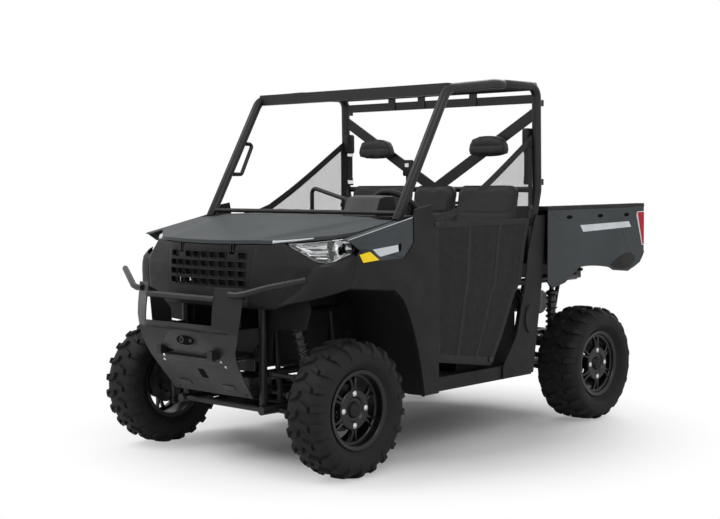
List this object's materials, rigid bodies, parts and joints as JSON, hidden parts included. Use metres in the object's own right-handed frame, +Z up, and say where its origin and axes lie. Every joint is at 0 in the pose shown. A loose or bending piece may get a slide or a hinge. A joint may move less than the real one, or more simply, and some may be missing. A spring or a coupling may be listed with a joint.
{
  "type": "side by side utility vehicle",
  "caption": "Open utility vehicle with a caged bench-seat cab, steered front wheels, lifting hood, side nets and a dumping cargo bed with tailgate.",
  "frame": {"origin": "on the ground under the middle of the overall box", "axes": "+Z up, the vehicle faces -Y, +X is its own left side"},
  "size_m": [1.588, 3.048, 1.9297],
  "materials": {
    "frame_coat": "satin black powder coat",
    "black_plastic": "grained black moulded plastic",
    "paint": "dark grey metallic moulded panels",
    "lamp_glass": "clear lens",
    "red_lens": "clear red lens",
    "seat_vinyl": "black grained vinyl",
    "net_fabric": "coated mesh and vinyl",
    "belt_webbing": "woven webbing",
    "cast_alloy": "as cast",
    "dark_steel": "dark coated steel",
    "muffler_steel": "dull aluminised steel",
    "rim_black": "gloss black",
    "tyre_rubber": "rubber"
  },
  "bodies": {
    "chassis": {"frame_lower": "frame_coat", "frame_front": "frame_coat", "frame_rear": "frame_coat", "skid_plate": "black_plastic", "front_bumper": "frame_coat", "front_fascia": "black_plastic", "grille": "black_plastic", "headlights": "lamp_glass", "fender_panels": "paint", "fender_flares": "black_plastic", "dash": "black_plastic", "floor_tub": "black_plastic", "rocker_panels": "black_plastic", "cab_side_panels": "black_plastic", "seat_base": "black_plastic", "seat_cushions": "seat_vinyl", "seat_backs": "seat_vinyl", "headrests": "seat_vinyl", "cage_front": "frame_coat", "cage_rear": "frame_coat", "side_nets": "net_fabric", "seat_belts": "belt_webbing", "engine": "cast_alloy", "gearcases": "cast_alloy", "radiator": "cast_alloy", "front_arms": "frame_coat", "rear_arms": "frame_coat", "shocks": "dark_steel", "half_shafts": "dark_steel", "rear_uprights": "dark_steel", "driver_controls": "black_plastic", "muffler": "muffler_steel", "hitch_receiver": "frame_coat", "grab_handles": "frame_coat"},
    "steering_wheel": {"steering_wheel": "black_plastic"},
    "steering_rack": {"steering_rack": "dark_steel"},
    "knuckle_left": {"knuckle_left": "dark_steel"},
    "knuckle_right": {"knuckle_right": "dark_steel"},
    "hood": {"hood": "paint"},
    "cargo_bed": {"bed_box": "black_plastic", "bed_side_panels": "paint", "tail_lights": "red_lens"},
    "tailgate": {"tailgate": "paint"},
    "wheel_front_left": {"tyre_front_left": "tyre_rubber", "rim_front_left": "rim_black"},
    "wheel_front_right": {"tyre_front_right": "tyre_rubber", "rim_front_right": "rim_black"},
    "wheel_rear_left": {"tyre_rear_left": "tyre_rubber", "rim_rear_left": "rim_black"},
    "wheel_rear_right": {"tyre_rear_right": "tyre_rubber", "rim_rear_right": "rim_black"}
  },
  "joints": [
    {"name": "steer_left", "type": "hinge", "parent": "chassis", "child": "knuckle_left", "pos_m": [0.6, -1.066, 0.33], "axis": [0, 0, 1], "range_deg": [-30, 30]},
    {"name": "steer_right", "type": "hinge", "parent": "chassis", "child": "knuckle_right", "pos_m": [-0.6, -1.066, 0.33], "axis": [0, 0, 1], "range_deg": [-30, 30]},
    {"name": "rack_slide", "type": "slide", "parent": "chassis", "child": "steering_rack", "axis": [-1, 0, 0], "range_m": [-0.055, 0.055]},
    {"name": "steering_wheel_turn", "type": "hinge", "parent": "chassis", "child": "steering_wheel", "pos_m": [0.37, -0.33, 1.19], "axis": [0, 0.866, 0.5], "range_deg": [-360, 360]},
    {"name": "wheel_front_left_spin", "type": "hinge", "parent": "knuckle_left", "child": "wheel_front_left", "pos_m": [0.679, -1.066, 0.33], "axis": [1, 0, 0], "continuous": true},
    {"name": "wheel_front_right_spin", "type": "hinge", "parent": "knuckle_right", "child": "wheel_front_right", "pos_m": [-0.679, -1.066, 0.33], "axis": [1, 0, 0], "continuous": true},
    {"name": "wheel_rear_left_spin", "type": "hinge", "parent": "chassis", "child": "wheel_rear_left", "pos_m": [0.654, 0.991, 0.33], "axis": [1, 0, 0], "continuous": true},
    {"name": "wheel_rear_right_spin", "type": "hinge", "parent": "chassis", "child": "wheel_rear_right", "pos_m": [-0.654, 0.991, 0.33], "axis": [1, 0, 0], "continuous": true},
    {"name": "hood_hinge", "type": "hinge", "parent": "chassis", "child": "hood", "pos_m": [0, -1.326, 1.066], "axis": [1, 0, 0], "range_deg": [0, 55]},
    {"name": "bed_dump", "type": "hinge", "parent": "chassis", "child": "cargo_bed", "pos_m": [0, 1.37, 0.842], "axis": [-1, 0, 0], "range_deg": [0, 45]},
    {"name": "tailgate_hinge", "type": "hinge", "parent": "cargo_bed", "child": "tailgate", "pos_m": [0, 1.49, 0.926], "axis": [-1, 0, 0], "range_deg": [0, 90]}
  ],
  "couplings": [
    {"joint": "steer_right", "follows": "steer_left", "ratio": 1},
    {"joint": "rack_slide", "follows": "steer_left", "m_per_rad": 0.1},
    {"joint": "steering_wheel_turn", "follows": "steer_left", "ratio": 12}
  ]
}
